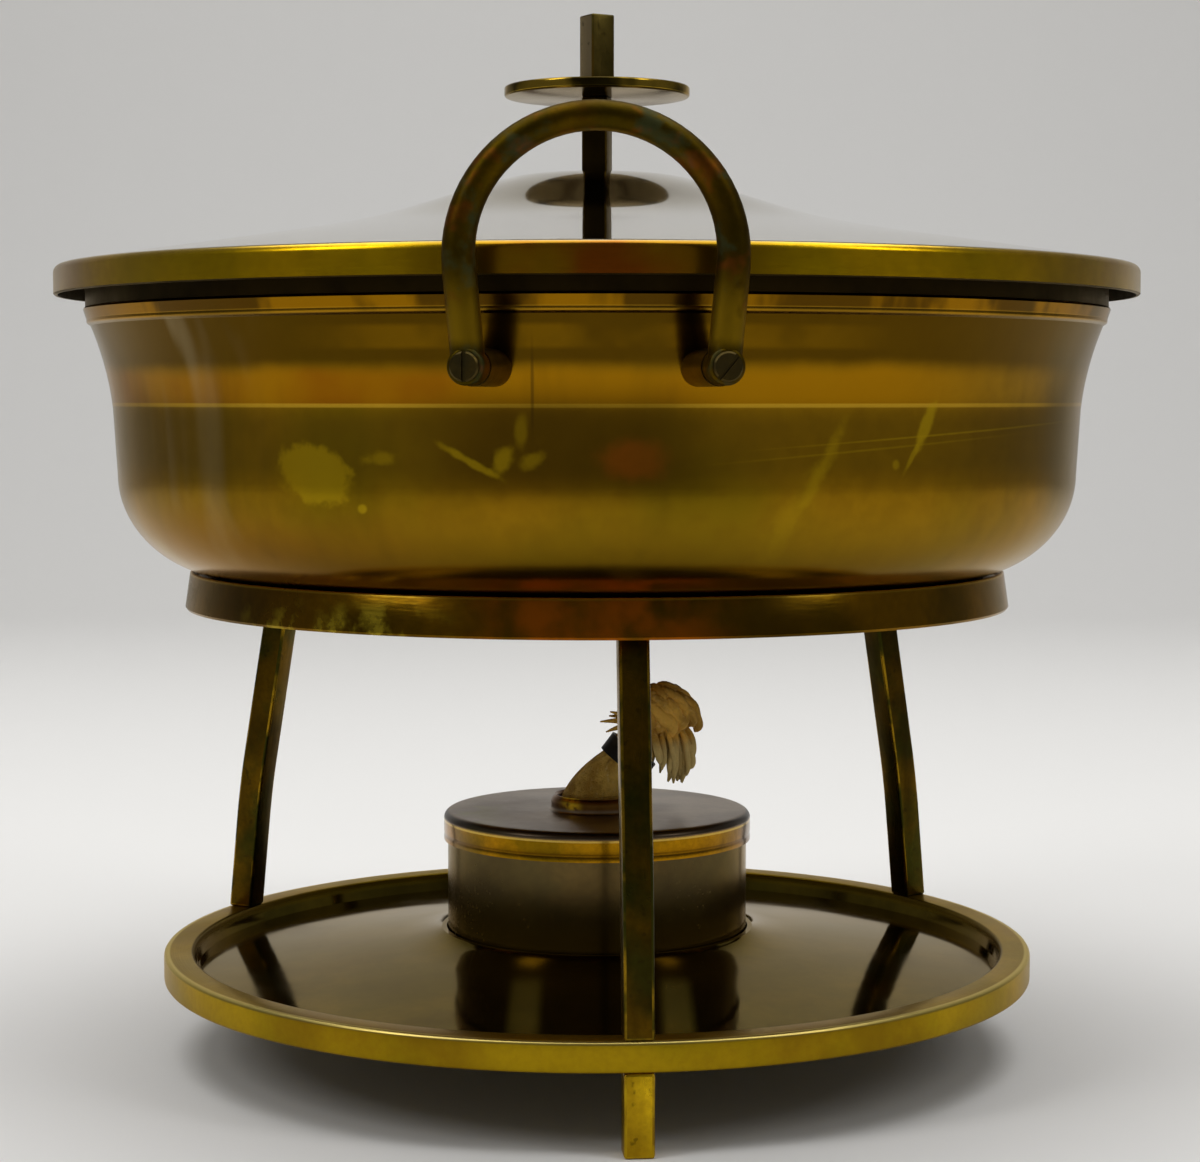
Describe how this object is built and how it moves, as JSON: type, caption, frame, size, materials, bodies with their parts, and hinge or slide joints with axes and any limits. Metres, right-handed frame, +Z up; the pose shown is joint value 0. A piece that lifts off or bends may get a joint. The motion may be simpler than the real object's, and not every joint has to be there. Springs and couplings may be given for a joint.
{
  "type": "chafing dish",
  "caption": "Round chafing dish: shallow pan with loop handles and a lift-off lid, on a tripod stand with a drip tray and a spirit burner.",
  "frame": {"origin": "centre of the bounding box at the underside of the feet, on the axis of the round pieces", "axes": "+Z up; -Y towards the front handle; +X to the right seen from the front"},
  "size_m": [0.2752, 0.3022, 0.2659],
  "materials": {
    "lid_brass": "polished, tarnished",
    "pan_brass": "polished, tarnished and stained",
    "handle_brass": "dull, tarnished with verdigris",
    "knob_brass": "satin, tarnished",
    "stand_brass": "satin, tarnished",
    "tray_brass": "polished dish and satin rim, tarnished",
    "screw_brass": "dull",
    "burner_dark_brass": "dark brown patina",
    "cap_brass": "dark top, bright band",
    "wick_cotton": "frayed cotton",
    "black_band": "matt"
  },
  "bodies": {
    "stand": {"tray": "tray_brass", "leg_tie_studs": "screw_brass", "leg_screws": "screw_brass", "support_ring": "stand_brass", "front_leg": "stand_brass", "rear_right_leg": "stand_brass", "rear_left_leg": "stand_brass", "front_foot": "stand_brass", "rear_right_foot": "stand_brass", "rear_left_foot": "stand_brass"},
    "pan": {"pan": "pan_brass", "front_handle": "handle_brass", "rear_handle": "handle_brass", "front_handle_standoffs": "handle_brass", "rear_handle_standoffs": "handle_brass", "front_handle_nuts": "screw_brass", "rear_handle_nuts": "screw_brass", "front_handle_screws": "screw_brass", "rear_handle_screws": "screw_brass"},
    "lid": {"lid": "lid_brass", "lid_locating_ring": "lid_brass", "knob_lower_post": "knob_brass", "knob_disc": "knob_brass", "knob_upper_post": "knob_brass", "knob_stud": "screw_brass", "knob_washer": "screw_brass", "knob_nut": "screw_brass"},
    "burner": {"burner_can": "burner_dark_brass"},
    "burner_cap": {"burner_cap": "cap_brass", "wick": "wick_cotton", "wick_tail": "wick_cotton", "wick_clip": "black_band", "wick_tuft": "wick_cotton"}
  },
  "joints": [
    {"name": "pan_lift", "type": "slide", "parent": "stand", "child": "pan", "axis": [0, 0, 1], "range_m": [0, 0.12]},
    {"name": "lid_lift", "type": "slide", "parent": "pan", "child": "lid", "axis": [0, 0, 1], "range_m": [0, 0.1]},
    {"name": "burner_lift", "type": "slide", "parent": "stand", "child": "burner", "axis": [0, 0, 1], "range_m": [0, 0.01]},
    {"name": "cap_pull", "type": "slide", "parent": "burner", "child": "burner_cap", "axis": [0, 0, 1], "range_m": [0, 0.014]}
  ]
}
